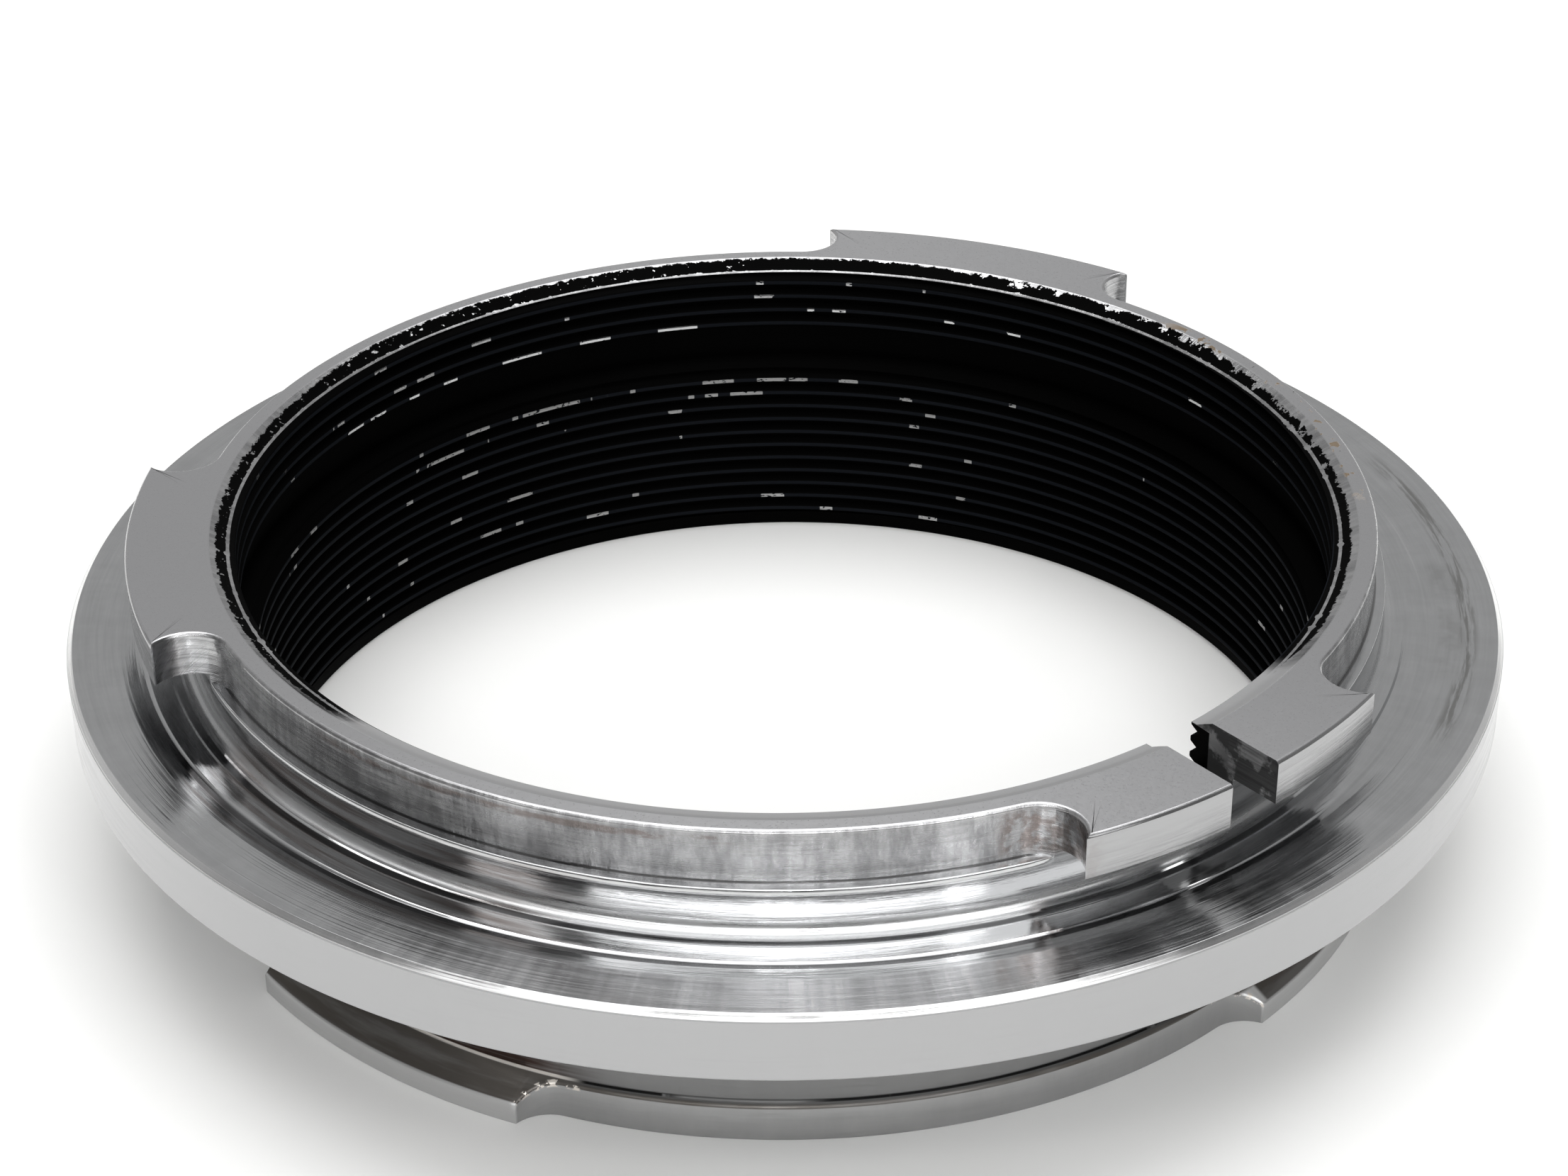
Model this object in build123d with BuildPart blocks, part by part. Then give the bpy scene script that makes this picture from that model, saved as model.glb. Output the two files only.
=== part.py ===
from build123d import *
import os
from math import acos, degrees, radians, tan

# Coupling ring with a male three-lug bayonet on both faces, made of two turned rings.
# Millimetres and degrees. +Z is the optical axis, Z = 0 is the rim of the lower bayonet,
# and azimuths count anticlockwise from +X, seen from above.

os.makedirs("parts", exist_ok=True)

# Heights
lower_height = 7.3
flange_thickness = 3.1
upper_height = 4.3
flange_face = lower_height + flange_thickness
top_face = flange_face + upper_height

# Flange
flange_radius = 31.75
flange_edge_break = 0.2
inner_groove_radii = (27.0, 27.4)
inner_groove_depth = 0.06
outer_groove_radii = (28.45, 28.75)
outer_groove_depth = 0.1
outer_groove_slope_radius = 29.45

# Upper bayonet
upper_collar_radius = 26.0
upper_neck_radius = 26.5
neck_fillet_radius = 0.36
upper_lug_radius = 28.8
upper_lug_thickness = 1.95
upper_lug_span = 32.0
upper_lug_azimuths = (69.0, 189.0, 309.0)
upper_mill_depth = 2.35
rim_edge_break = 0.12
slot_azimuth = 309.0
slot_width = 2.5
slot_depth = 2.7
slot_overrun = 2.0

# Lower bayonet
lower_collar_radius = 26.25
lower_neck_radius = 26.0
lower_lug_radius = 27.4
lower_lug_rim = 1.0
lower_lug_back = 1.8
lower_lug_span = 30.0
lower_lug_azimuths = (231.5, 331.0, 101.0)

# End mill that cuts the gaps between the lugs
cutter_radius = 1.75

# Threads, both of the same pitch, and the smooth bores beside them
thread_pitch = 0.75
thread_depth = 0.4
thread_flank_angle = 30.0
thread_root_flat = 0.06
groove_overshoot = 0.1
turns_per_cut = 3
upper_thread_cuts = 2
lower_thread_cuts = 4
mouth_radius = 25.2
mouth_countersink_radius = 24.4
mouth_countersink_depth = 0.45
upper_crest_radius = 24.1
upper_thread_bottom = flange_face + 0.95
lower_crest_radius = 23.6
exit_radius = 23.85
exit_land = 0.7
thread_run_out = 0.2

# Spigot of the lower ring, pressed into the socket bored in the upper ring
socket_radius = 24.8
spigot_clearance = 0.02
spigot_top = flange_face - 0.85
spigot_lead_in_radius = 24.4
spigot_lead_in_depth = 0.55


def thread_grooves(crest_radius, bottom, cuts):
    """Right-hand V groove wound up a bore wall, as cutters of three whole turns each."""
    half_root = thread_root_flat / 2
    half_mouth = half_root + (thread_depth + groove_overshoot) * tan(radians(thread_flank_angle))
    cut_length = turns_per_cut * thread_pitch
    grooves = []
    for number in range(cuts):
        with BuildPart() as groove:
            with BuildLine() as path:
                cut_bottom = bottom + number * cut_length
                Helix(thread_pitch, cut_length, crest_radius, center=(0, 0, cut_bottom))
            with BuildSketch(Plane(path.line @ 0, x_dir=(1, 0, 0), z_dir=path.line % 0)):
                with BuildLine():
                    Polyline(
                        (-groove_overshoot, -half_mouth),
                        (thread_depth, -half_root),
                        (thread_depth, half_root),
                        (-groove_overshoot, half_mouth),
                        close=True,
                    )
                make_face()
            sweep(path=path.line, is_frenet=True)
        grooves.append(groove.part)
    return grooves


def end_margin(lug_radius, path_radius):
    """Angle from the centre of the end mill's last position to the lug corner that it leaves."""
    cosine = (lug_radius**2 + path_radius**2 - cutter_radius**2) / (2 * lug_radius * path_radius)
    return degrees(acos(cosine))


def milled_gaps(lug_azimuths, lug_span, lug_radius, collar_radius):
    """Start angle, sweep and radius of the end mill's path for the gap after each lug."""
    path_radius = collar_radius + cutter_radius
    margin = end_margin(lug_radius, path_radius)
    ordered = sorted(azimuth % 360 for azimuth in lug_azimuths)
    gaps = []
    for azimuth, following in zip(ordered, ordered[1:] + [ordered[0] + 360]):
        start = azimuth + lug_span / 2 + margin
        gaps.append((start, following - lug_span / 2 - margin - start))
    return path_radius, gaps


# Cutting tools, made first because sub-part blocks aren't nested
upper_thread_start = upper_thread_bottom - thread_pitch / 2
lower_thread_start = exit_land - thread_run_out
upper_grooves = thread_grooves(upper_crest_radius, upper_thread_start, upper_thread_cuts)
lower_grooves = thread_grooves(lower_crest_radius, lower_thread_start, lower_thread_cuts)

# Upper bayonet ring: flange, neck and slotted three-lug bayonet in one turned and milled piece
with BuildPart() as upper_bayonet_ring:
    with BuildSketch(Plane.XZ) as upper_section:
        with BuildLine():
            Polyline(
                (socket_radius, lower_height),
                (flange_radius - flange_edge_break, lower_height),
                (flange_radius, lower_height + flange_edge_break),
                (flange_radius, flange_face - flange_edge_break),
                (flange_radius - flange_edge_break, flange_face),
                (outer_groove_slope_radius, flange_face),
                (outer_groove_radii[1], flange_face - outer_groove_depth),
                (outer_groove_radii[0], flange_face - outer_groove_depth),
                (outer_groove_radii[0], flange_face),
                (inner_groove_radii[1], flange_face),
                (inner_groove_radii[1], flange_face - inner_groove_depth),
                (inner_groove_radii[0], flange_face - inner_groove_depth),
                (inner_groove_radii[0], flange_face),
                (upper_neck_radius + neck_fillet_radius, flange_face),
            )
            RadiusArc(
                (upper_neck_radius + neck_fillet_radius, flange_face),
                (upper_neck_radius, flange_face + neck_fillet_radius),
                neck_fillet_radius,
            )
            Polyline(
                (upper_neck_radius, flange_face + neck_fillet_radius),
                (upper_neck_radius, top_face - upper_lug_thickness),
                (upper_lug_radius, top_face - upper_lug_thickness),
                (upper_lug_radius, top_face),
                (mouth_radius, top_face),
                (mouth_countersink_radius, top_face - mouth_countersink_depth),
                (upper_crest_radius, top_face - mouth_countersink_depth),
                (upper_crest_radius, upper_thread_bottom),
                (socket_radius, upper_thread_bottom),
                (socket_radius, lower_height),
            )
        make_face()
    revolve(axis=Axis.Z)
    mill_radius, gaps = milled_gaps(
        upper_lug_azimuths, upper_lug_span, upper_lug_radius, upper_collar_radius
    )
    with BuildSketch(Plane.XY.offset(top_face)):
        for start_angle, sweep_angle in gaps:
            mill_path = CenterArc((0, 0), mill_radius, start_angle, sweep_angle, mode=Mode.PRIVATE)
            SlotArc(mill_path, 2 * cutter_radius)
    extrude(amount=-upper_mill_depth, mode=Mode.SUBTRACT)
    upper_rim = upper_bayonet_ring.faces().sort_by(Axis.Z)[-1].outer_wire()
    chamfer(upper_rim.edges(), rim_edge_break)
    slot_length = upper_lug_radius - socket_radius + 2 * slot_overrun
    slot_middle = (upper_lug_radius + socket_radius) / 2
    with BuildSketch(Plane.XY.offset(top_face)):
        with PolarLocations(slot_middle, 1, start_angle=slot_azimuth):
            Rectangle(slot_length, slot_width)
    extrude(amount=-slot_depth, mode=Mode.SUBTRACT)
    for groove in upper_grooves:
        add(groove, mode=Mode.SUBTRACT)
upper_bayonet_ring.part.label = "upper_bayonet_ring"
export_step(upper_bayonet_ring.part, "parts/upper_bayonet_ring.step")

# Lower bayonet ring: three thin lugs with sloped backs, and the spigot that carries the thread
with BuildPart() as lower_bayonet_ring:
    with BuildSketch(Plane.XZ) as lower_section:
        with BuildLine():
            Polyline(
                (exit_radius, 0),
                (lower_lug_radius, 0),
                (lower_lug_radius, lower_lug_rim),
                (lower_neck_radius, lower_lug_back),
                (lower_neck_radius, lower_height),
                (socket_radius - spigot_clearance, lower_height),
                (socket_radius - spigot_clearance, spigot_top),
                (spigot_lead_in_radius, spigot_top),
                (lower_crest_radius, spigot_top - spigot_lead_in_depth),
                (lower_crest_radius, exit_land),
                (exit_radius, exit_land),
                close=True,
            )
        make_face()
    revolve(axis=Axis.Z)
    mill_radius, gaps = milled_gaps(
        lower_lug_azimuths, lower_lug_span, lower_lug_radius, lower_collar_radius
    )
    with BuildSketch(Plane.XY):
        for start_angle, sweep_angle in gaps:
            mill_path = CenterArc((0, 0), mill_radius, start_angle, sweep_angle, mode=Mode.PRIVATE)
            SlotArc(mill_path, 2 * cutter_radius)
    extrude(amount=lower_lug_back, mode=Mode.SUBTRACT)
    for groove in lower_grooves:
        add(groove, mode=Mode.SUBTRACT)
lower_bayonet_ring.part.label = "lower_bayonet_ring"
export_step(lower_bayonet_ring.part, "parts/lower_bayonet_ring.step")
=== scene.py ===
import math

import bpy
import numpy as np
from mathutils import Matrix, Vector


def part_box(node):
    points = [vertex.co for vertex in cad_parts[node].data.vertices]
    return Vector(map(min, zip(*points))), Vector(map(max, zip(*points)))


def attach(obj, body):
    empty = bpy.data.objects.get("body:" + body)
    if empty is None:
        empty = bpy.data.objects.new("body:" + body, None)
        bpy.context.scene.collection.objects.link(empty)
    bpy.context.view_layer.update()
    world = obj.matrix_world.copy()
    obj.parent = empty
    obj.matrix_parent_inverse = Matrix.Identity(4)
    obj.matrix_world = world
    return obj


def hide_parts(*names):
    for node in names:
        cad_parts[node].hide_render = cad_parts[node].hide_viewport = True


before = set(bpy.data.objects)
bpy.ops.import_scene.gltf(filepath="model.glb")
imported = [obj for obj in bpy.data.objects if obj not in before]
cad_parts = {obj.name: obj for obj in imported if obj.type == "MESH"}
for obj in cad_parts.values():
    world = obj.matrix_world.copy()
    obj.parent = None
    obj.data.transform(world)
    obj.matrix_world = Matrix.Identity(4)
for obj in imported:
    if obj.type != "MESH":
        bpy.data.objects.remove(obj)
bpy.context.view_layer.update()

MM = 0.001
WELD_CELLS = 5000  # vertices that round to the same cell, this many to the millimetre, are welded

# ---------------------------------------------------------------- sizes, in millimetres
upper_high = np.array(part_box("upper_bayonet_ring")[1]) / MM
upper_low = np.array(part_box("upper_bayonet_ring")[0]) / MM
lower_high = np.array(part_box("lower_bayonet_ring")[1]) / MM
flange_r = upper_high[0]
flange_under = upper_low[2]
top = upper_high[2]
flange_top = top - 4.3
flange_bevel = 0.25
spigot_top = lower_high[2]

neck_r = 26.5
collar_r = 26.0
lug_r = 28.8
ledge_z = top - 2.35
lug_under = top - 1.95
lug_azimuths = (69.0, 189.0, 309.0)
lug_span = 32.0
slot_azimuth = 309.0
slot_half = 1.25
slot_floor = top - 2.7
slot_clear_angle = 3.3
slot_columns = 11
mouth_r = 25.2
countersink_r = 24.4
countersink_z = top - 0.45
socket_r = 24.8
upper_crest = 24.1
upper_thread_low = flange_top + 0.95

low_collar_r = 26.25
low_neck_r = 26.0
low_lug_r = 27.4
low_lug_rim = 1.0
low_lug_back = 1.8
low_lug_azimuths = (101.0, 231.5, 331.0)
low_lug_span = 30.0
low_burr_azimuths = (249.9, 312.6)  # the end mill's last positions beside the two front lugs
exit_r = 23.85
exit_land = 0.7
lower_crest = 23.6
lead_in_low = spigot_top - 0.55
spigot_r = socket_r - 0.02

cutter_r = 1.75
lug_fan = 3.7  # degrees by which a lug's inner vertices spread past the milled gap
pitch = 0.75
thread_depth = 0.4
upper_thread_start = upper_thread_low - pitch / 2
lower_thread_start = exit_land - 0.2
sharp_angle = 48


# ---------------------------------------------------------------- shapes
def rounded(points, segments=3):
    """The polyline of (r, z, radius) corners, each rounded to its radius."""
    out = []
    for i, (r, z, radius) in enumerate(points):
        here = np.array((r, z))
        if radius == 0 or i in (0, len(points) - 1):
            out.append(here)
            continue
        before = np.array(points[i - 1][:2]) - here
        after = np.array(points[i + 1][:2]) - here
        before /= np.linalg.norm(before)
        after /= np.linalg.norm(after)
        half = math.acos(np.clip(before @ after, -1, 1)) / 2
        middle = (before + after) / np.linalg.norm(before + after)
        centre = here + middle * radius / math.sin(half)
        a = here + before * radius / math.tan(half) - centre
        b = here + after * radius / math.tan(half) - centre
        turn = math.pi - 2 * half
        for k in range(segments + 1):
            w = k / segments
            blend = a * math.sin((1 - w) * turn) + b * math.sin(w * turn)
            out.append(centre + blend / math.sin(turn))
    return out


def lug_end(outer_r, inner_r, step_r, count):
    """Margin angle, and the stations up the cutter's arc at a lug's end.

    Each station is inner angle, radius, angle and whether it is outside step_r.
    """
    path_r = inner_r + cutter_r

    def turn_at(r):
        return math.acos((path_r**2 + cutter_r**2 - r * r) / (2 * path_r * cutter_r))

    def point(turn):
        x, y = path_r - cutter_r * math.cos(turn), cutter_r * math.sin(turn)
        return math.hypot(x, y), math.degrees(math.atan2(y, x))

    last = turn_at(outer_r)
    margin = point(last)[1]
    if step_r <= inner_r:
        turns = np.linspace(0, last, count)
        return margin, [(point(t)[1], *point(t), True) for t in turns]
    cross = turn_at(step_r)
    cross_angle = point(cross)[1]
    split = count // 2
    stations = [(point(t)[1], *point(t), False) for t in np.linspace(0, cross, split)]
    for k, t in enumerate(np.linspace(cross, last, count - split)):
        w = k / (count - split - 1)
        inner = cross_angle + 0.03 + (margin + lug_fan - cross_angle - 0.03) * w
        stations.append((inner, *point(t), True))
    return margin, stations


def outline(azimuths, span, outer_r, inner_r, step_r, step_angle, count=16):
    """Columns round a three-lug outline, as rows of inner angle, radius, angle and lug flag."""
    margin, end = lug_end(outer_r, inner_r, step_r, count)
    fan = end[-1][0] - margin
    columns = []
    ordered = sorted(azimuths)
    for azimuth, following in zip(ordered, ordered[1:] + [ordered[0] + 360]):
        lug_start, lug_stop = azimuth - span / 2, azimuth + span / 2
        gap_start, gap_stop = lug_stop + margin, following - span / 2 - margin
        steps = round(span / step_angle)
        for angle in np.linspace(lug_start, lug_stop, steps + 1)[1:-1]:
            columns.append((azimuth + (angle - azimuth) * (1 - 2 * fan / span), outer_r, angle, 1))
        for inner, r, angle, lug in reversed(end):
            columns.append((gap_start - inner, r, gap_start - angle, lug))
        steps = round((gap_stop - gap_start) / step_angle)
        for angle in np.linspace(gap_start, gap_stop, steps + 1)[1:-1]:
            columns.append((angle, inner_r, angle, 0))
        for inner, r, angle, lug in end:
            columns.append((gap_stop + inner, r, gap_stop + angle, lug))
    return np.array(columns, dtype=float)


def slot_angle(share, r):
    """Angle at radius r of a line parallel to the slot, at a share of its half width."""
    return slot_azimuth + np.degrees(np.arcsin(share * slot_half / r))


class Columns:
    """The ring's columns of vertices. Those at the slot have a share t of its half width."""

    def __init__(self, table, with_slot):
        self.inner, self.r, self.angle, lug = table.T
        self.lug = lug > 0.5
        n = len(table)
        self.slot = np.zeros(n, bool)
        self.edge = np.zeros(n, bool)
        self.t = np.zeros(n)
        if with_slot:
            keep = np.abs(self.inner - slot_azimuth) > slot_clear_angle
            at = int(np.argmax(~keep))
            shares = np.array([-1, *np.linspace(-1, 1, slot_columns), 1])
            m = len(shares)

            def swap(values, new):
                values = values[keep]
                return np.concatenate((values[:at], new, values[at:]))

            self.inner = swap(self.inner, slot_angle(shares, mouth_r))
            self.angle = swap(self.angle, slot_angle(shares, lug_r))
            self.r = swap(self.r, [lug_r] * m)
            self.lug = swap(self.lug, [True] * m)
            self.slot = swap(self.slot, [False] + [True] * (m - 2) + [False])
            self.edge = swap(self.edge, [True] * m)
            self.t = swap(self.t, shares)
            self.caps = ((at, at + 1), (at + m - 1, at + m - 2))
        else:
            self.caps = ()
        self.n = len(self.inner)

    def place(self, r):
        """Angle of each column's vertex at radius r."""
        r = np.broadcast_to(r, self.n)
        return np.where(self.edge, slot_angle(self.t, r), self.inner)

    def inward(self):
        """Unit normals of the outline in plan, pointing into the metal, and the outline's points."""
        x, y = self.r * np.cos(np.radians(self.angle)), self.r * np.sin(np.radians(self.angle))
        points = np.stack((x, y), 1)
        ahead, behind = np.roll(points, -1, 0) - points, points - np.roll(points, 1, 0)
        for side in (ahead, behind):
            length = np.linalg.norm(side, axis=1)
            side[length < 1e-6] = 0
        unit = [s / np.maximum(np.linalg.norm(s, axis=1), 1e-9)[:, None] for s in (ahead, behind)]
        along = unit[0] + unit[1]
        along /= np.linalg.norm(along, axis=1)[:, None]
        side = np.where(np.abs(unit[0]).sum(1)[:, None] > 0, unit[0], unit[1])
        cosine = np.clip(np.sum(along * side, 1), 0.6, 1)
        return points, np.stack((-along[:, 1], along[:, 0]), 1) / cosine[:, None]


def groove_depth(height):
    """Thread depth at a height above a groove's middle, with worn corners on the ridge."""
    s = np.abs((height + pitch / 2) % pitch - pitch / 2)
    known = (0.0, 0.03, 0.215, 0.247, 0.29, pitch / 2)
    depths = (1.0, 1.0, 0.2, 0.06, 0.0, 0.0)
    return thread_depth * np.interp(s, known, depths)


THREAD_ROWS = np.array((0.03, 0.215, 0.247, 0.29, 0.46, 0.503, 0.535, 0.72))


def thread_rows(columns, start, low, high, crest, body):
    """Angles, radii and heights of rows that follow the thread from low to high.

    They have one more column than the ring, because the helix doesn't close. body gives the bore's
    least radius at each height.
    """
    inner = np.concatenate((columns.inner, columns.inner[:1] + 360))
    rise = pitch * inner / 360
    turns = math.ceil((high - low) / pitch) + 3
    base = start + pitch * math.floor((low - start - pitch * inner[-1] / 360) / pitch)
    heights = []
    for turn in range(turns + 1):
        for offset in THREAD_ROWS:
            heights.append(base + turn * pitch + offset)
    z = np.clip(np.array(heights)[:, None] + rise[None, :], low, high)
    at_top, at_bottom = np.all(z >= high, 1), np.all(z <= low, 1)
    spare = at_top & np.roll(at_top, 1)
    spare |= at_bottom & np.append(at_bottom[1:], False)
    z = z[~spare]
    r = np.maximum(body(z), crest + groove_depth(z - start - rise[None, :]))
    return inner, r, z


class Shell:
    """Collects vertices in millimetres and faces, and welds them into one closed mesh."""

    def __init__(self):
        self.vertices, self.quads, self.polygons, self.count = [], [], [], 0

    def grid(self, points, closed, skip=()):
        """Adds rows x columns points. skip lists the columns that aren't joined to the next one."""
        rows, columns = points.shape[:2]
        index = np.arange(rows * columns).reshape(rows, columns) + self.count
        self.vertices.append(points.reshape(-1, 3))
        self.count += rows * columns
        ahead = np.roll(index, -1, 1) if closed else index[:, 1:]
        here = index if closed else index[:, :-1]
        wanted = [c for c in range(here.shape[1]) if c not in skip]
        a, b = here[:-1, wanted], ahead[:-1, wanted]
        c, d = ahead[1:, wanted], here[1:, wanted]
        self.quads.append(np.stack((a, b, c, d), -1).reshape(-1, 4))
        return index

    def build(self, name):
        vertices = np.concatenate(self.vertices)
        cells = np.round(vertices * WELD_CELLS).astype(np.int64)
        _, first, inverse = np.unique(cells, axis=0, return_index=True, return_inverse=True)
        inverse = inverse.ravel()
        vertices = vertices[first]
        quads = inverse[np.concatenate(self.quads)]
        same = quads == np.roll(quads, -1, 1)
        cross = (quads[:, 0] == quads[:, 2]) | (quads[:, 1] == quads[:, 3])
        whole = quads[(same.sum(1) == 0) & ~cross]
        thin = quads[(same.sum(1) == 1) & ~cross]
        thin_same = same[(same.sum(1) == 1) & ~cross]
        triangles = np.array([q[~s] for q, s in zip(thin, thin_same)]).reshape(-1, 3)
        faces = whole.tolist() + triangles.tolist()
        for polygon in self.polygons:
            loop = inverse[polygon]
            loop = loop[loop != np.roll(loop, -1)]
            faces.append(loop.tolist())
        mesh = bpy.data.meshes.new(name)
        mesh.from_pydata((vertices * MM).tolist(), [], faces)
        mesh.validate()
        return mesh


def polar(r, angle, z):
    """Points from radius, angle in degrees and height arrays."""
    r, angle, z = np.broadcast_arrays(r, angle, z)
    turn = np.radians(angle)
    return np.stack((r * np.cos(turn), r * np.sin(turn), z), -1)


def upper_mesh():
    columns = Columns(outline(lug_azimuths, lug_span, lug_r, collar_r, neck_r, 0.55), True)
    n = columns.n
    slot = columns.slot
    rows = []

    def add(r, z, angle=None):
        r = np.broadcast_to(r, n)
        rows.append(polar(r, columns.place(r) if angle is None else angle, z))

    def body(z):
        return np.full(z.shape, upper_crest)

    inner, thread_r, thread_z = thread_rows(
        columns, upper_thread_start, upper_thread_low, countersink_z, upper_crest, body
    )
    at_mouth = thread_z > countersink_z - 0.02
    thread_r = np.where(at_mouth, np.minimum(thread_r, countersink_r - 0.01), thread_r)
    in_slot = np.concatenate((slot, slot[:1]))
    middle = int(np.argmax(slot)) + slot_columns // 2
    floor_row = int(np.argmin(np.abs(thread_z[:, middle] - slot_floor)))
    for j in np.nonzero(in_slot)[0]:
        thread_z[floor_row + 1 :, j] = thread_z[floor_row, j]
        thread_r[floor_row + 1 :, j] = thread_r[floor_row, j]
    bore_r, bore_z = thread_r[floor_row, :-1], thread_z[floor_row, :-1]

    profile = rounded(
        [
            (socket_r, flange_under, 0),
            (flange_r - 0.15, flange_under, 0.06),
            (flange_r, flange_under + 0.15, 0.06),
            (flange_r, flange_top - flange_bevel, 0.02),
            (flange_r - flange_bevel, flange_top, 0.03),
            (29.45, flange_top, 0.9),
            (28.78, flange_top - 0.065, 0.5),
            (28.5, flange_top - 0.065, 0.15),
            (28.38, flange_top, 0.15),
            (27.5, flange_top, 0.1),
            (27.38, flange_top - 0.035, 0.1),
            (27.05, flange_top - 0.035, 0.1),
            (26.94, flange_top, 0.05),
            (neck_r, flange_top, 0.36),
            (neck_r, flange_top + 0.6, 0),
            (neck_r, slot_floor, 0),
        ],
        4,
    )
    for r, z in profile:
        add(r, z)
    floor_from = len(rows)

    foot_z = np.where(columns.lug, lug_under, ledge_z)
    foot_r = np.minimum(columns.r, neck_r)
    for inset, lift in ((0.0, 0.05), (0.0, 0.88), (0.06, 0.97), (0.16, 1.0)):
        add(neck_r - (neck_r - foot_r) * inset, slot_floor + (foot_z - slot_floor) * lift)
    add(columns.r, foot_z, columns.angle)
    edge = 0.14
    for share in (0.03, 0.5, 0.97, 1.0):
        add(columns.r, foot_z + (top - edge - foot_z) * share, columns.angle)
    points, normal = columns.inward()
    for inset, drop in ((0.1, 0.75), (0.75, 0.1), (1.0, 0.0), (1.3, 0.0)):
        moved = points + normal * edge * inset
        rows.append(np.column_stack((moved, np.full(n, top - edge * drop))))
    middle_r = (columns.r + mouth_r) / 2 - edge
    add(middle_r, top)
    for r, drop in ((mouth_r + 0.07, 0), (mouth_r + 0.04, 0), (mouth_r, 0.015), (mouth_r - 0.03, 0.035)):
        add(r, top - drop)
    add((mouth_r + countersink_r) / 2, (top + countersink_z) / 2)
    add(countersink_r, countersink_z)
    rows.append(polar(thread_r[-1, :-1], columns.place(thread_r[-1, :-1]), thread_z[-1, :-1]))
    floor_to = len(rows)
    for k in range(floor_from, floor_to):
        w = (k - floor_from + 1) / (floor_to - floor_from)
        r = neck_r + (bore_r - neck_r) * w
        z = slot_floor + (bore_z - slot_floor) * w
        flat = polar(r, columns.place(r), z)
        rows[k] = np.where(slot[:, None], flat, rows[k])

    shell = Shell()
    skip = [min(pair) for pair in columns.caps]
    outer = shell.grid(np.array(rows), True, skip)
    edges = np.append(columns.edge, columns.edge[0])
    shares = np.append(columns.t, columns.t[0])
    angles = np.where(edges, slot_angle(shares, thread_r), inner[None, :])
    bore = shell.grid(polar(thread_r, angles, thread_z), False, skip)
    last = []
    lowest_row = (thread_r[0, :-1], thread_z[0, :-1])
    below_thread = (lowest_row, (socket_r, upper_thread_low), (socket_r, flange_under))
    for r, z in below_thread:
        r = np.broadcast_to(r, n)
        last.append(polar(r, columns.place(r), z))
    shell.grid(np.array(last), True)
    for full, cut in columns.caps:
        up = outer[floor_from - 1 : floor_to, full]
        down = bore[floor_row:-1, full][::-1]
        back = outer[floor_from - 1 : floor_to, cut][::-1]
        shell.polygons.append(np.concatenate((up, down, back)))
    return shell.build("upper_ring")


def lower_mesh():
    table = outline(low_lug_azimuths, low_lug_span, low_lug_r, low_collar_r, low_neck_r, 0.62, 12)
    columns = Columns(table, False)
    n = columns.n
    rows = []

    def add(r, z, angle=None):
        r = np.broadcast_to(r, n)
        rows.append(polar(r, columns.inner if angle is None else angle, z))

    cone_top = lead_in_low + (spigot_top - lead_in_low) * 0.6

    def body(z):
        lead_in = (countersink_r - lower_crest) / (spigot_top - lead_in_low)
        cone = lower_crest + (z - lead_in_low) * lead_in
        return np.maximum(lower_crest, cone)

    inner, thread_r, thread_z = thread_rows(
        columns, lower_thread_start, exit_land, cone_top, lower_crest, body
    )
    add(exit_r, exit_land)
    add(exit_r, 0.06)
    add(exit_r + 0.06, 0)
    points, normal = columns.inward()
    edge = 0.07
    slope = (low_lug_back - low_lug_rim) / (low_lug_r - low_neck_r)
    shoulder = low_lug_rim + (low_lug_r - columns.r) * slope
    for inset, z in ((1.0, 0.0), (0.3, edge * 0.3)):
        rows.append(np.column_stack((points + normal * edge * inset, np.full(n, z))))
    for share in (0.0, 0.5, 1.0):
        add(columns.r, edge + (shoulder - 2 * edge) * share, columns.angle)
    rows.append(np.column_stack((points + normal * edge * 0.4, shoulder - edge * 0.2)))
    rows.append(np.column_stack((points + normal * edge * 1.2, shoulder + slope * edge * 1.2)))
    add(low_neck_r + 0.03, low_lug_back - 0.03)
    for r, z in ((low_neck_r, low_lug_back + 0.04), (low_neck_r, 4.5), (low_neck_r, flange_under)):
        add(r, z)
    for r, z in ((spigot_r, flange_under), (spigot_r, spigot_top), (countersink_r, spigot_top)):
        add(r, z)
    rows.append(polar(thread_r[-1, :-1], columns.inner, thread_z[-1, :-1]))
    shell = Shell()
    shell.grid(np.array(rows), True)
    shell.grid(polar(thread_r, inner[None, :], thread_z), False)
    thread_foot = polar(thread_r[0, :-1], columns.inner, thread_z[0, :-1])
    shell.grid(np.array([thread_foot, polar(exit_r, columns.inner, exit_land)]), True)
    return shell.build("lower_ring")


def ring_object(name, mesh, node):
    obj = bpy.data.objects.new(name, mesh)
    bpy.context.scene.collection.objects.link(obj)
    mesh.polygons.foreach_set("use_smooth", [True] * len(mesh.polygons))
    mesh.set_sharp_from_angle(angle=math.radians(sharp_angle))
    weighted = obj.modifiers.new("weighted", "WEIGHTED_NORMAL")
    weighted.keep_sharp = True
    weighted.weight = 60
    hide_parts(node)
    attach(obj, "root")
    return obj


upper = ring_object("upper_ring", upper_mesh(), "upper_bayonet_ring")
lower = ring_object("lower_ring", lower_mesh(), "lower_bayonet_ring")
print("faces", len(upper.data.polygons), len(lower.data.polygons))


# ---------------------------------------------------------------- materials
PAINT = (0.0006, 0.0006, 0.0006)
RIDGE_PAINT = (0.006, 0.007, 0.009)
PAINT_ROUGHNESS = 0.55
BUMP_HEIGHT = 0.006  # millimetres


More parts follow.
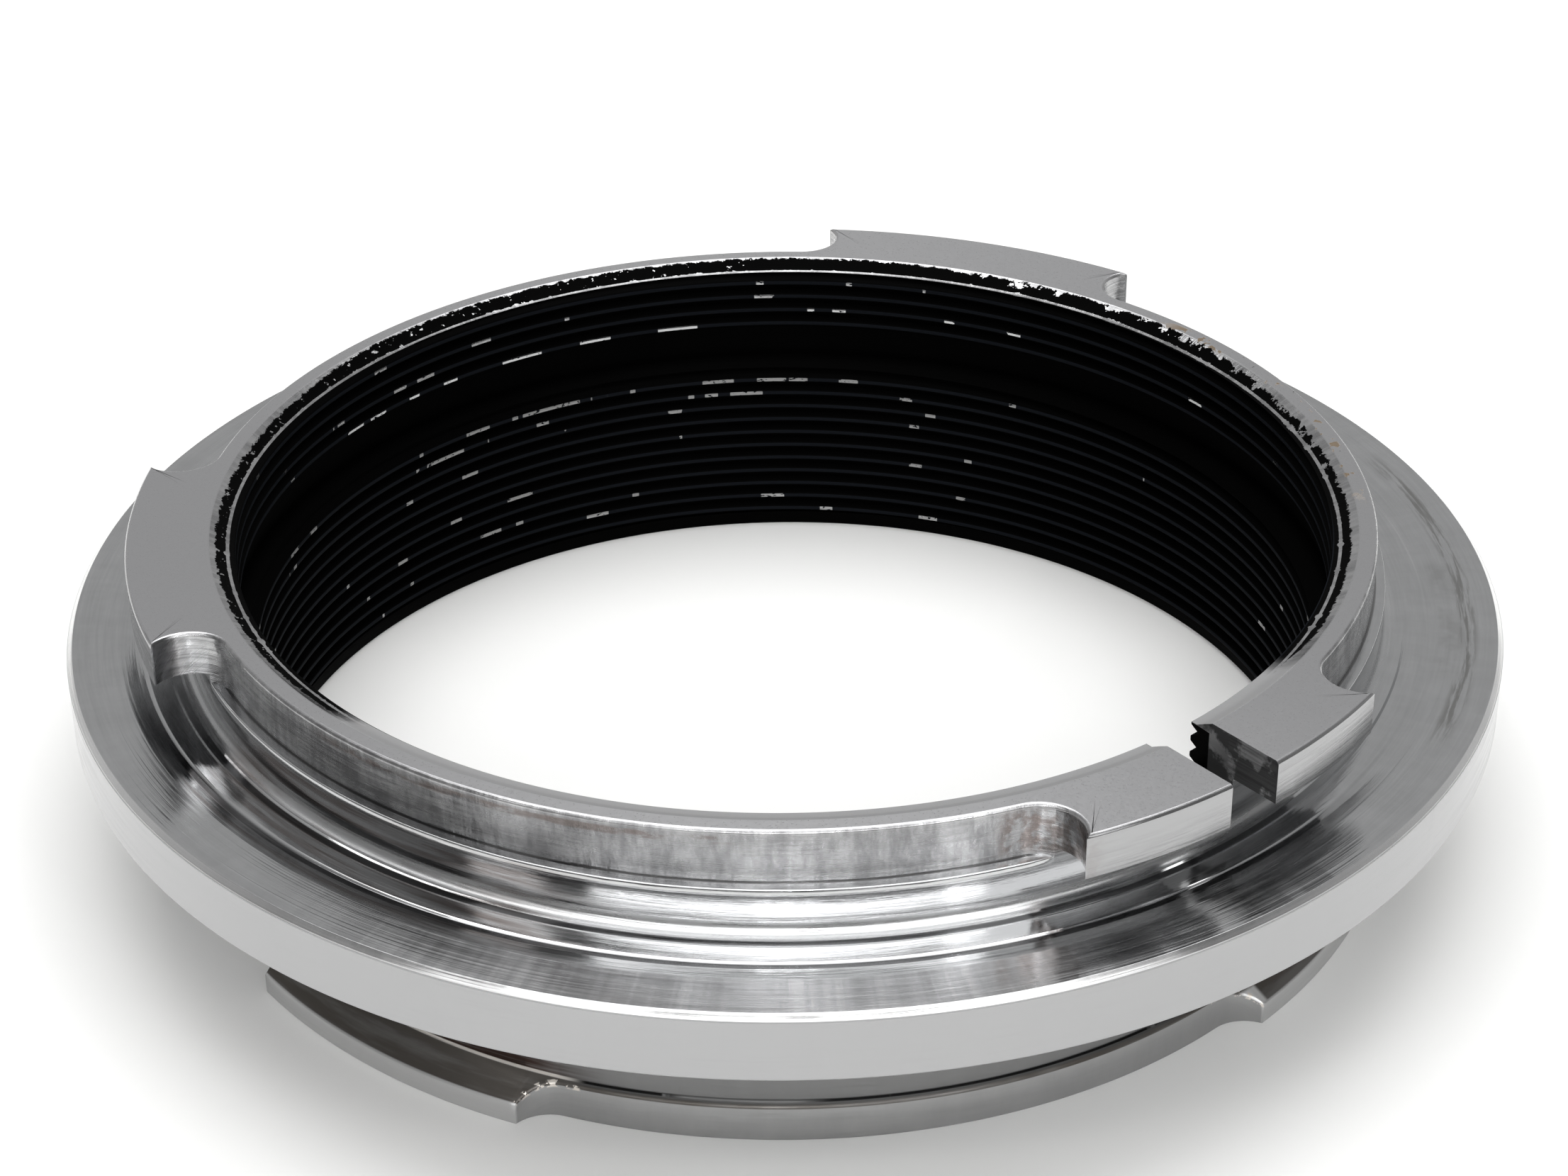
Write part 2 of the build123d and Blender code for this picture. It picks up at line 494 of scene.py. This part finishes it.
class Graph:
    """A material's nodes, under short names. Every value is a socket or a number.

    The steel's colour and roughness are built up in color and roughness, one mark after another.
    """

    def __init__(self, name):
        self.material = bpy.data.materials.new(name)
        self.material.use_nodes = True
        self.tree = self.material.node_tree
        self.shader = self.tree.nodes["Principled BSDF"]
        self.place()

    def put(self, socket, value):
        if isinstance(value, bpy.types.NodeSocket):
            self.tree.links.new(value, socket)
        else:
            socket.default_value = value

    def math(self, operation, *values):
        node = self.tree.nodes.new("ShaderNodeMath")
        node.operation = operation
        for socket, value in zip(node.inputs, values):
            self.put(socket, value)
        return node.outputs[0]

    def add(self, a, b):
        return self.math("ADD", a, b)

    def less(self, a, b):
        return self.math("SUBTRACT", a, b)

    def times(self, a, b):
        return self.math("MULTIPLY", a, b)

    def all_of(self, *masks):
        """The product of masks."""
        out = masks[0]
        for mask in masks[1:]:
            out = self.times(out, mask)
        return out

    def any_of(self, *masks):
        """The largest of masks."""
        out = masks[0]
        for mask in masks[1:]:
            out = self.math("MAXIMUM", out, mask)
        return out

    def ramp(self, value, low, high, start=0.0, stop=1.0):
        """start below low, stop above high, smooth between. low may be over high."""
        node = self.tree.nodes.new("ShaderNodeMapRange")
        node.interpolation_type = "SMOOTHSTEP"
        for socket, number in zip(node.inputs, (value, low, high, start, stop)):
            self.put(socket, number)
        return node.outputs[0]

    def band(self, value, middle, half, soft):
        """1 within half of middle, 0 past half + soft."""
        away = self.math("ABSOLUTE", self.less(value, middle))
        return self.ramp(away, half + soft, half)

    def window(self, start, stop, soft=3.0):
        """1 between two angles in degrees."""
        away = self.less(self.angle, (start + stop) / 2)
        away = self.math("ABSOLUTE", self.math("WRAP", away, 180, -180))
        half = (stop - start) / 2
        return self.ramp(away, half + soft, half)

    def combine(self, x, y, z):
        node = self.tree.nodes.new("ShaderNodeCombineXYZ")
        for socket, value in zip(node.inputs, (x, y, z)):
            self.put(socket, value)
        return node.outputs[0]

    def noise(self, vector, scale, detail=3.0, rough=0.5):
        node = self.tree.nodes.new("ShaderNodeTexNoise")
        self.put(node.inputs["Vector"], vector)
        for name, value in (("Scale", scale), ("Detail", detail), ("Roughness", rough)):
            self.put(node.inputs[name], value)
        return node.outputs["Fac"]

    def solid_noise(self, scale, detail, rough):
        return self.noise(self.combine(self.x, self.y, self.z), scale, detail, rough)

    def round_noise(self, along, height, detail, rough=0.6):
        """Noise with a frequency of along per radian round the axis. height is its third coordinate."""
        vector = self.combine(self.times(self.cos, along), self.times(self.sin, along), height)
        return self.noise(vector, 1.0, detail, rough)

    def streaks(self, along, across, detail=4.0, shift=0.0):
        """Noise drawn out round the axis, at frequencies per radian and per millimetre."""
        height = self.add(self.times(self.add(self.r, self.z), across), shift)
        return self.round_noise(along, height, detail)

    def speckle(self, scale, low, high, shift=0.0):
        """Spots where a noise rises from low to high."""
        vector = self.combine(self.add(self.x, shift), self.y, self.z)
        return self.ramp(self.noise(vector, scale, 3, 0.6), low, high)

    def mix(self, share, a, b):
        """Colour a where share is 0 and b where it is 1."""
        node = self.tree.nodes.new("ShaderNodeMix")
        node.data_type = "RGBA"
        self.put(node.inputs["Factor"], share)
        self.put(node.inputs["A"], (*a, 1) if isinstance(a, tuple) else a)
        self.put(node.inputs["B"], (*b, 1) if isinstance(b, tuple) else b)
        return [o for o in node.outputs if o.type == "RGBA"][0]

    def blend(self, share, a, b):
        """The same for plain values."""
        node = self.tree.nodes.new("ShaderNodeMix")
        node.data_type = "FLOAT"
        for name, value in (("Factor", share), ("A", a), ("B", b)):
            self.put(node.inputs[name], value)
        return node.outputs[0]

    def tint(self, mask, tone, share=1.0):
        """Gives a share of a tone to the surface where mask is 1."""
        self.color = self.mix(self.times(mask, share), self.color, tone)

    def roughen(self, mask, amount):
        self.roughness = self.add(self.roughness, self.times(mask, amount))

    def bump(self, height):
        node = self.tree.nodes.new("ShaderNodeBump")
        self.put(node.inputs["Height"], height)
        self.put(node.inputs["Distance"], BUMP_HEIGHT * MM)
        self.put(node.inputs["Strength"], 1.0)
        return node.outputs[0]

    def place(self):
        """The shaded point: x, y, z and radius in millimetres, angle in degrees, its cosine and sine."""
        coordinates = self.tree.nodes.new("ShaderNodeTexCoord").outputs["Object"]
        node = self.tree.nodes.new("ShaderNodeSeparateXYZ")
        self.put(node.inputs[0], coordinates)
        self.x, self.y, self.z = (self.times(o, 1 / MM) for o in node.outputs)
        self.r = self.math("SQRT", self.add(self.times(self.x, self.x), self.times(self.y, self.y)))
        turn = self.math("ARCTAN2", self.y, self.x)
        self.angle = self.math("MODULO", self.add(self.times(turn, 180 / math.pi), 360), 360)
        self.cos = self.math("DIVIDE", self.x, self.r)
        self.sin = self.math("DIVIDE", self.y, self.r)

    def steel(self, base, rough):
        """Sets the colour and roughness of turned steel, and returns its fine and wide streaks."""
        fine = self.streaks(9.0, 9.0, 4)
        wide = self.streaks(5.0, 2.6, 4, 17)
        fan = self.round_noise(26, self.times(self.add(self.r, self.z), 0.35), 4)
        cloud = self.solid_noise(0.22, 4, 0.6)
        shade = 0.5
        for noise, depth in ((fine, 0.05), (wide, 0.05), (fan, 0.06), (cloud, 0.04)):
            shade = self.add(shade, self.ramp(noise, 0.3, 0.7, -depth, depth))
        dark = tuple(c * 0.75 for c in base)
        light = tuple(min(1.0, c * 1.25) for c in base)
        self.color = self.mix(shade, dark, light)
        uneven = self.add(self.ramp(fine, 0.3, 0.7, -0.05, 0.05), self.ramp(wide, 0.3, 0.7, -0.04, 0.06))
        self.roughness = self.add(uneven, rough)
        return fine, wide

    def finish(self, normal, dull):
        """Joins the values to the shader. dull is 1 where the metal is hidden under paint, rust, the
        slot's darkening and the matte grey of the bare countersink.
        """
        shader = self.shader
        self.put(shader.inputs["Base Color"], self.color)
        self.put(shader.inputs["Roughness"], self.blend(dull, self.roughness, PAINT_ROUGHNESS))
        self.put(shader.inputs["Metallic"], self.ramp(dull, 0.0, 1.0, 1.0, 0.0))
        self.put(shader.inputs["Normal"], normal)
        shader.inputs["Anisotropic"].default_value = 0.55
        shader.inputs["Anisotropic Rotation"].default_value = 0.25
        shader.inputs["Specular IOR Level"].default_value = 0.015
        tangent = self.tree.nodes.new("ShaderNodeTangent")
        tangent.direction_type = "RADIAL"
        tangent.axis = "Z"
        self.put(shader.inputs["Tangent"], tangent.outputs[0])
        return self.material


def worn_dashes(g, crest, start, amount, seed):
    """Masks of the bare dashes, where paint is worn off the thread's ridges, and of the ridges."""
    rise = g.less(g.z, g.times(g.angle, pitch / 360))
    turns = g.times(g.less(rise, start), 1 / pitch)
    number = g.math("FLOOR", turns)
    share = g.less(turns, number)
    ridge = g.times(g.band(share, 0.5, 0.1, 0.04), g.ramp(g.r, crest + 0.06, crest + 0.03))
    at = g.combine(g.times(g.angle, 0.2), g.times(number, 5.37), seed)
    dash = g.ramp(g.noise(at, 1.0, 2, 0.5), amount, g.add(amount, 0.025))
    edge = g.noise(g.combine(g.x, g.y, g.times(g.z, 2)), 4.0, 2, 0.5)
    return g.all_of(dash, ridge, g.ramp(edge, 0.34, 0.42)), ridge


def upper_steel(g, on_top):
    """The upper ring's bare metal, from the flange up to the ground top faces. Returns its normal."""
    fine, wide = g.steel((0.5, 0.505, 0.51), 0.16)
    height = g.add(g.times(fine, 0.6), g.times(wide, 0.8))

    # polished neck and inner flange, smoother all round, and lighter on the front arc as a painted
    # highlight
    polish_and_highlight = g.all_of(g.ramp(g.r, 29.3, 28.9), g.ramp(g.z, ledge_z, ledge_z - 0.1))
    # painted highlight: the polished metal is lightened only on the front arc, 235 to 302 degrees
    g.tint(g.times(polish_and_highlight, g.window(235, 302, 20)), (0.64, 0.645, 0.65), 0.8)
    g.roughen(polish_and_highlight, -0.08)
    fillet = g.ramp(g.r, neck_r + 0.48, neck_r + 0.4)
    g.roughen(g.times(fillet, g.ramp(g.z, flange_top + 0.5, flange_top + 0.4)), 0.2)

    # upright walls of the flange and the lugs
    flange_wall = g.ramp(g.r, flange_r - 0.12, flange_r - 0.03)
    wall = g.any_of(flange_wall, g.ramp(g.z, ledge_z + 0.05, ledge_z + 0.15))
    g.tint(wall, (0.42, 0.42, 0.425), 0.9)

    # bevel round the flange, painted near-white as a painted highlight, and its worn outer corner
    bevel_in = g.ramp(g.r, flange_r - flange_bevel - 0.02, flange_r - flange_bevel + 0.03)
    bevel_out = g.ramp(g.r, flange_r - 0.005, flange_r - 0.02)
    bevel_z = flange_top - flange_bevel - 0.01
    bevel = g.all_of(bevel_in, bevel_out, g.ramp(g.z, bevel_z - 0.04, bevel_z))
    # painted highlight: near-white colour on the flange's bevel
    g.tint(bevel, (0.86, 0.86, 0.86))
    g.roughen(bevel, 0.03)
    corner = g.ramp(g.r, flange_r - 0.06, flange_r - 0.03)
    g.roughen(g.all_of(corner, g.band(g.z, bevel_z, 0.04, 0.04)), 0.3)

    # ground top faces
    ground = g.solid_noise(9.0, 4, 0.7)
    g.tint(on_top, (0.5, 0.5, 0.51), 0.8)
    g.roughness = g.blend(on_top, g.roughness, g.ramp(ground, 0.3, 0.7, 0.27, 0.34))

    # cutter marks on the milled walls, and spokes of light across the flange, a painted reflection of
    # them
    above_ledge = g.ramp(g.z, ledge_z, ledge_z + 0.1)
    milled = g.all_of(above_ledge, g.ramp(g.r, lug_r - 0.05, lug_r - 0.1), g.ramp(on_top, 1, 0))
    marks = g.round_noise(70, g.times(g.z, 0.7), 4, 0.65)
    bars = g.round_noise(16, g.times(g.z, 0.25), 4, 0.7)
    bars = g.add(g.times(marks, 0.4), g.times(bars, 0.6))
    tone = g.mix(g.ramp(bars, 0.38, 0.62), (0.25, 0.25, 0.255), (0.5, 0.5, 0.505))
    g.tint(milled, tone, 0.85)
    g.roughen(milled, 0.08)
    on_flange = g.all_of(g.ramp(g.r, 29.3, 29.6), g.ramp(g.r, flange_r - 0.1, flange_r - 0.2))
    tone = g.mix(g.ramp(bars, 0.4, 0.6), (0.32, 0.32, 0.325), (0.58, 0.58, 0.585))
    # painted reflection: the milled walls' streaks painted onto the flange on the front arc
    g.tint(g.times(g.window(246, 300, 18), on_flange), tone, 0.45)

    # turning lines on the outer flange
    rings = g.round_noise(1.2, g.times(g.r, 7.0), 2, 0.7)
    height = g.add(height, g.times(rings, g.ramp(g.r, 28.9, 29.6, 0.0, 2.4)))
    height = g.blend(milled, height, g.times(marks, 3.0))

    # scallops at the lug ends, with level tool marks and one outer edge in shade
    scallop = g.times(milled, g.ramp(g.r, collar_r + 0.1, collar_r + 0.25))
    level = g.combine(g.times(g.r, 0.3), g.times(g.angle, 0.06), g.times(g.z, 9))
    tool = g.noise(level, 1.0, 3, 0.6)
    height = g.blend(scallop, height, tool)
    tone = g.mix(g.ramp(tool, 0.35, 0.65), (0.3, 0.3, 0.305), (0.66, 0.66, 0.665))
    g.tint(scallop, tone, 0.8)
    shaded = g.all_of(scallop, g.window(203, 210, 1), g.ramp(g.r, 27.5, 28.1))
    g.tint(shaded, (0.06, 0.06, 0.062), 0.8)
    height = g.blend(on_top, height, g.times(ground, 0.3))
    return g.bump(height)


def upper_stains(g):
    """Brown and grey stains on the neck, under the rim, by a lug and on the right of the flange."""
    drawn = g.ramp(g.streaks(3.2, 3.4, 4, 41), 0.42, 0.62)
    below_ledge = g.ramp(g.z, ledge_z + 0.1, ledge_z - 0.3)
    foot = g.all_of(g.window(216, 246, 10), below_ledge, g.ramp(g.r, 29.6, 29.0), drawn)
    short = g.ramp(g.streaks(14, 2, 3, 9), 0.45, 0.6)
    under_rim = g.all_of(g.window(228, 262, 6), g.band(g.z, top - 0.45, 0.1, 0.12), short)
    g.tint(g.any_of(foot, under_rim), (0.16, 0.11, 0.09), 0.55)

    at_lug = g.all_of(g.window(289, 293.5, 1.5), g.band(g.z, top - 1.2, 0.7, 0.5))
    at_lug = g.all_of(at_lug, g.ramp(g.r, 28.9, 28.6), g.speckle(1.5, 0.4, 0.55, 3))
    g.tint(at_lug, (0.17, 0.12, 0.10), 0.6)

    drawn = g.ramp(g.streaks(9, 4.0, 4, 5), 0.44, 0.6)
    trail = g.all_of(g.window(338, 376, 8), g.band(g.r, 30.2, 0.15, 0.4), drawn)
    patch = g.all_of(g.window(346, 360, 4), g.band(g.r, 29.5, 0.35, 0.4), g.speckle(0.45, 0.35, 0.7, 5))
    g.tint(g.any_of(trail, g.times(patch, 0.5)), (0.12, 0.115, 0.1), 0.55)


def upper_paint(g):
    """Masks of the bore's black paint, of its ridges, and of the bare countersink in front."""
    # the paint's outer edge, as a radius on the countersink
    edge = g.blend(g.window(160, 240, 20), 25.15, 24.93)
    edge = g.blend(g.window(335, 382, 14), edge, 24.86)
    edge = g.blend(g.window(240, 325, 8), edge, 24.5)
    chips = g.ramp(g.solid_noise(0.9, 4, 0.7), 0.5, 0.62, 0.0, -0.35)
    chips = g.all_of(g.window(8, 62, 12), chips, g.ramp(g.z, countersink_z - 0.1, countersink_z))
    ragged = g.ramp(g.solid_noise(2.4, 5, 0.75), 0.3, 0.7, -0.09, 0.09)
    edge = g.add(g.add(edge, chips), ragged)
    edge = g.blend(g.ramp(g.z, countersink_z - 0.06, countersink_z - 0.01), 25.1, edge)
    paint = g.ramp(g.r, g.add(edge, 0.02), g.add(edge, -0.02))
    paint = g.times(paint, g.ramp(g.z, top + 0.01, top - 0.03))

    at_mouth = g.ramp(g.z, countersink_z - 0.03, countersink_z - 0.01)
    bare_mouth_and_sheen = g.all_of(g.window(228, 322, 6), g.ramp(g.r, mouth_r + 0.06, mouth_r), at_mouth)
    on_slope = g.ramp(g.z, countersink_z + 0.01, countersink_z + 0.04)
    edge_chips = g.all_of(on_slope, g.window(95, 232, 6), g.speckle(3.0, 0.64, 0.67, 17))

    # bare line of uneven width round the countersink's foot
    lip_width = g.ramp(g.round_noise(30, 4.0, 4, 0.7), 0.5, 0.75, 0.06, 0.18)
    away = g.math("ABSOLUTE", g.less(g.r, countersink_r + 0.02))
    lip = g.ramp(away, g.add(lip_width, 0.02), lip_width)
    lip = g.times(lip, g.ramp(g.z, countersink_z - 0.02, countersink_z + 0.005))

    # more dashes on the far side, and most of all along the lowest ridge there
    lowest = g.ramp(g.z, upper_thread_low + 0.6, upper_thread_low + 0.5, 0.0, 0.13)
    far = g.add(g.times(g.window(30, 165, 20), 0.05), g.times(g.window(98, 150, 2), lowest))
    dashes, ridge = worn_dashes(g, upper_crest, upper_thread_start, g.less(0.68, far), 3.1)
    paint = g.times(paint, g.ramp(bare_mouth_and_sheen, 1.0, 0.0))
    paint = g.times(paint, g.ramp(edge_chips, 1.0, 0.0))
    paint = g.times(paint, g.ramp(g.any_of(lip, dashes), 0.5, 0.4))
    return paint, ridge, bare_mouth_and_sheen


def upper_material():
    g = Graph("turned_steel")
    on_top = g.ramp(g.z, top - 0.05, top - 0.01)
    normal = upper_steel(g, on_top)
    upper_stains(g)
    paint, ridge, bare_mouth_and_sheen = upper_paint(g)
    # painted reflection: the bare countersink in front gets a flat matte grey in place of its metal's
    # reflection
    g.tint(bare_mouth_and_sheen, (0.27, 0.27, 0.272))

    # painted shade in the flange's grooves and on the slope outside them, on the front arc only; painted
    # shade in the corner under the milled walls; and the slot darker, most towards its floor
    slope = g.times(g.ramp(g.r, 28.4, 28.5), g.ramp(g.r, 29.5, 28.8, 0.0, 0.55))
    painted_groove_shade = g.any_of(g.band(g.r, 27.2, 0.12, 0.08), g.band(g.r, 28.62, 0.1, 0.12), slope)
    painted_groove_shade = g.all_of(painted_groove_shade, g.band(g.z, flange_top, 0.3, 0.1), g.window(215, 308, 20))
    # painted shade: the grooves and the slope darkened on the front arc only
    g.tint(painted_groove_shade, (0.04, 0.04, 0.042), 0.85)
    ledge_corner_shade = g.times(g.band(g.z, ledge_z, 0.035, 0.03), g.ramp(g.r, 26.12, 26.06))
    # painted shade: dark line in the corner at the foot of the milled walls
    g.tint(ledge_corner_shade, (0.04, 0.036, 0.034), 0.6)
    turn = math.radians(slot_azimuth)
    across = g.add(g.times(g.x, -math.sin(turn)), g.times(g.y, math.cos(turn)))
    in_slot = g.ramp(g.math("ABSOLUTE", across), slot_half + 0.02, slot_half)
    over_floor = g.ramp(g.z, slot_floor - 0.03, slot_floor + 0.03)
    near_slot = g.window(slot_azimuth - 6, slot_azimuth + 6, 0.5)
    in_slot = g.all_of(near_slot, in_slot, over_floor)
    smudge = g.add(g.solid_noise(0.9, 5, 0.6), g.ramp(g.z, top, slot_floor, -0.06, 0.12))
    # the slot darkened, most towards its floor
    slot_darkening = g.times(in_slot, g.ramp(smudge, 0.36, 0.5, 0.55, 1.0))
    g.tint(slot_darkening, (0.012, 0.012, 0.012), 0.93)

    # rust and dark specks on the right of the top face
    by_mouth = g.all_of(g.window(2, 40, 6), g.band(g.r, mouth_r + 0.1, 0.3, 0.15))
    rust = g.all_of(by_mouth, g.ramp(g.z, top - 0.1, top - 0.02), g.speckle(0.8, 0.565, 0.59, 21))
    g.tint(rust, (0.17, 0.135, 0.1))
    g.tint(g.all_of(on_top, g.window(2, 40, 4), g.speckle(1.9, 0.69, 0.71, 31)), (0.08, 0.075, 0.07))

    g.tint(paint, g.mix(ridge, PAINT, RIDGE_PAINT))
    return g.finish(normal, g.any_of(paint, bare_mouth_and_sheen, rust, g.times(slot_darkening, 0.9)))


def burr_line(g):
    """Mask along the end mill's arcs at the two lug ends that have burrs."""
    path_r = low_collar_r + cutter_r
    arcs = []
    for azimuth in low_burr_azimuths:
        turn = math.radians(azimuth)
        off_x = g.add(g.x, -path_r * math.cos(turn))
        off_y = g.add(g.y, -path_r * math.sin(turn))
        away = g.math("SQRT", g.add(g.times(off_x, off_x), g.times(off_y, off_y)))
        arcs.append(g.band(away, cutter_r + 0.04, 0.09, 0.05))
    return g.any_of(*arcs)


def lower_steel(g):
    """The lower ring's duller metal, with its stains, painted shade and shadow lines, a painted
    highlight and burrs. Returns its normal.
    """
    fine, wide = g.steel((0.42, 0.42, 0.42), 0.4)
    slope = (low_lug_back - low_lug_rim) / (low_lug_r - low_neck_r)
    over_back = g.less(g.z, g.add(low_lug_rim + low_lug_r * slope, g.times(g.r, -slope)))
    past_neck = g.ramp(g.r, low_neck_r, low_neck_r + 0.1)
    inside_rim = g.ramp(g.r, low_lug_r - 0.02, low_lug_r - 0.1)
    back = g.all_of(g.band(over_back, 0.0, 0.07, 0.03), past_neck, inside_rim)
    neck = g.ramp(g.z, low_lug_back + 0.02, low_lug_back + 0.1)
    # painted shade: the neck under the flange darkened
    g.tint(neck, (0.16, 0.16, 0.16), 0.5)

    # lug backs darkened by painted shade under the flange, streaked with dirt; lighter lug outer faces;
    # and a dark brown patch on the neck's left
    dirt_and_shade = g.ramp(g.streaks(3, 2.5, 4, 21), 0.35, 0.6)
    # painted shade with streaks of dirt on the lug backs
    g.tint(g.times(back, g.ramp(dirt_and_shade, 0, 1, 0.75, 0.96)), (0.1, 0.09, 0.08))
    g.tint(g.ramp(g.r, low_lug_r - 0.1, low_lug_r - 0.04), (0.62, 0.62, 0.62), 0.8)
    dark_brown_patch = g.all_of(neck, g.window(212, 246, 10), g.ramp(dirt_and_shade, 0, 1, 0.5, 1.0))
    g.tint(dark_brown_patch, (0.042, 0.021, 0.015), 0.95)

    # painted shade along the ledge over the collar, with a broken painted shadow line, and one bright
    # flake on a lug
    ledge_shade = g.times(g.band(g.z, low_lug_back, 0.07, 0.03), g.ramp(g.r, 26.32, 26.28))
    ledge_shade = g.times(ledge_shade, g.window(252, 312, 2))
    # painted shade on the ledge's front
    g.tint(ledge_shade, (0.1, 0.1, 0.1), 0.85)
    shadow_line = g.ramp(g.noise(g.combine(g.times(g.angle, 0.3), 0.0, 0.0), 1.0, 3, 0.6), 0.36, 0.42)
    where = g.any_of(g.window(274, 325, 4), g.window(252, 259, 2))
    # painted shadow line at the step's corner
    g.tint(g.all_of(g.band(g.z, low_lug_back, 0.035, 0.02), where, shadow_line), (0.01, 0.01, 0.01))
    flake = g.all_of(back, g.window(314.0, 316.4, 0.5), g.ramp(g.r, 26.5, 26.7))
    g.tint(flake, (0.85, 0.85, 0.85), 0.9)

    # bright burrs at the lug ends, and a painted highlight along the edge between a lug's back and the
    # neck
    near_back = g.ramp(over_back, -0.22, -0.12)
    burr = g.all_of(burr_line(g), near_back, g.speckle(3.2, 0.52, 0.56, 2))
    # painted highlight: bright line along the corner between the lug backs and the neck
    edge = g.times(g.band(g.z, low_lug_back, 0.05, 0.03), g.window(222, 249, 3))
    edge = g.times(edge, g.ramp(g.r, 26.08, 26.04))
    g.tint(g.any_of(burr, g.times(edge, 0.7)), (0.85, 0.8, 0.74))
    return g.bump(g.add(g.times(fine, 0.8), g.times(wide, 1.2)))


def lower_material():
    g = Graph("dull_steel")
    normal = lower_steel(g)
    inside = g.times(g.ramp(g.r, 25.0, 24.95), g.ramp(g.z, 0.0, 0.05))
    high_up = g.ramp(g.z, 6.4, 7.6, 0.0, 0.05)
    far = g.add(g.times(g.window(75, 185, 20), 0.05), g.times(g.window(95, 140, 15), high_up))
    dashes, ridge = worn_dashes(g, lower_crest, lower_thread_start, g.less(0.69, far), 8.4)
    step_line = g.times(g.band(g.z, exit_land + 0.03, 0.03, 0.02), g.window(35, 88, 6))
    step_chip = g.times(g.band(g.z, exit_land + 0.08, 0.07, 0.03), g.window(93, 96.5, 0.8))
    step = g.times(g.any_of(step_line, step_chip), g.ramp(g.r, 23.75, 23.7))
    paint = g.times(inside, g.ramp(g.any_of(dashes, step), 0.5, 0.4))
    g.tint(paint, g.mix(ridge, PAINT, RIDGE_PAINT))
    return g.finish(normal, paint)


upper.data.materials.append(upper_material())
lower.data.materials.append(lower_material())

# ---------------------------------------------------------------- floor, light and camera
floor_mesh = bpy.data.meshes.new("floor")
half = 3.0
corners = [(-half, -half, 0), (half, -half, 0), (half, half, 0), (-half, half, 0)]
floor_mesh.from_pydata(corners, [], [(0, 1, 2, 3)])
floor = bpy.data.objects.new("floor", floor_mesh)
bpy.context.scene.collection.objects.link(floor)
paper = bpy.data.materials.new("paper")
paper.use_nodes = True
paper.node_tree.nodes["Principled BSDF"].inputs["Base Color"].default_value = (0.9, 0.9, 0.89, 1)
paper.node_tree.nodes["Principled BSDF"].inputs["Roughness"].default_value = 0.8
floor_mesh.materials.append(paper)

world = bpy.data.worlds.new("studio")
bpy.context.scene.world = world
world.use_nodes = True
sky = world.node_tree
direction = sky.nodes.new("ShaderNodeSeparateXYZ")
sky.links.new(sky.nodes.new("ShaderNodeTexCoord").outputs["Generated"], direction.inputs[0])
depth = sky.nodes.new("ShaderNodeMapRange")
depth.interpolation_type = "SMOOTHSTEP"
for name, value in (("From Min", -0.5), ("From Max", 0.8), ("To Min", 0.15), ("To Max", 0.5)):
    depth.inputs[name].default_value = value
sky.links.new(direction.outputs["Y"], depth.inputs["Value"])
sky.links.new(depth.outputs["Result"], sky.nodes["Background"].inputs["Strength"])
sky.nodes["Background"].inputs["Color"].default_value = (1, 1, 1, 1)


def lamp(name, azimuth, elevation, distance, size, watts):
    """An area light aimed at the ring from a direction. Azimuth 0 is +X, and -90 the camera's side."""
    turn, lift = math.radians(azimuth), math.radians(elevation)
    back = Vector((math.cos(turn) * math.cos(lift), math.sin(turn) * math.cos(lift), math.sin(lift)))
    data = bpy.data.lights.new(name, "AREA")
    data.shape = "RECTANGLE"
    data.size, data.size_y = size
    data.energy = watts
    obj = bpy.data.objects.new(name, data)
    bpy.context.scene.collection.objects.link(obj)
    obj.location = back * distance
    obj.rotation_mode = "QUATERNION"
    obj.rotation_quaternion = back.to_track_quat("Z", "Y")
    return obj


lamp("overhead", 90, 78, 0.9, (0.9, 0.7), 6.0)
lamp("window", -90, 33, 1.2, (1.39, 0.27), 4.2)
lamp("window_high", -90, 58, 1.2, (1.39, 0.16), 2.9)
lamp("window_top", -90, 71, 1.2, (1.39, 0.36), 1.7)
lamp("window_left", -143, 36, 1.2, (0.25, 0.44), 0.45)
lamp("window_right", -45, 36, 1.2, (0.5, 0.44), 1.0)
for number, (azimuth, elevation) in enumerate(((-94, 31), (-90, 31), (-86, 31), (-60, 31))):
    lamp(f"spot_{number}", azimuth, elevation, 1.0, (0.02, 0.02), 0.2)

camera_data = bpy.data.cameras.new("camera")
camera_data.sensor_width = 36
camera_data.lens = 77.04
camera_data.clip_start = 0.005
camera = bpy.data.objects.new("camera", camera_data)
bpy.context.scene.collection.objects.link(camera)
camera.location = (0, -0.13007, 0.08646)
camera.rotation_euler = (math.radians(59.563), math.radians(0.434), math.radians(-0.246))
bpy.context.scene.camera = camera
bpy.context.scene.view_settings.view_transform = "Standard"
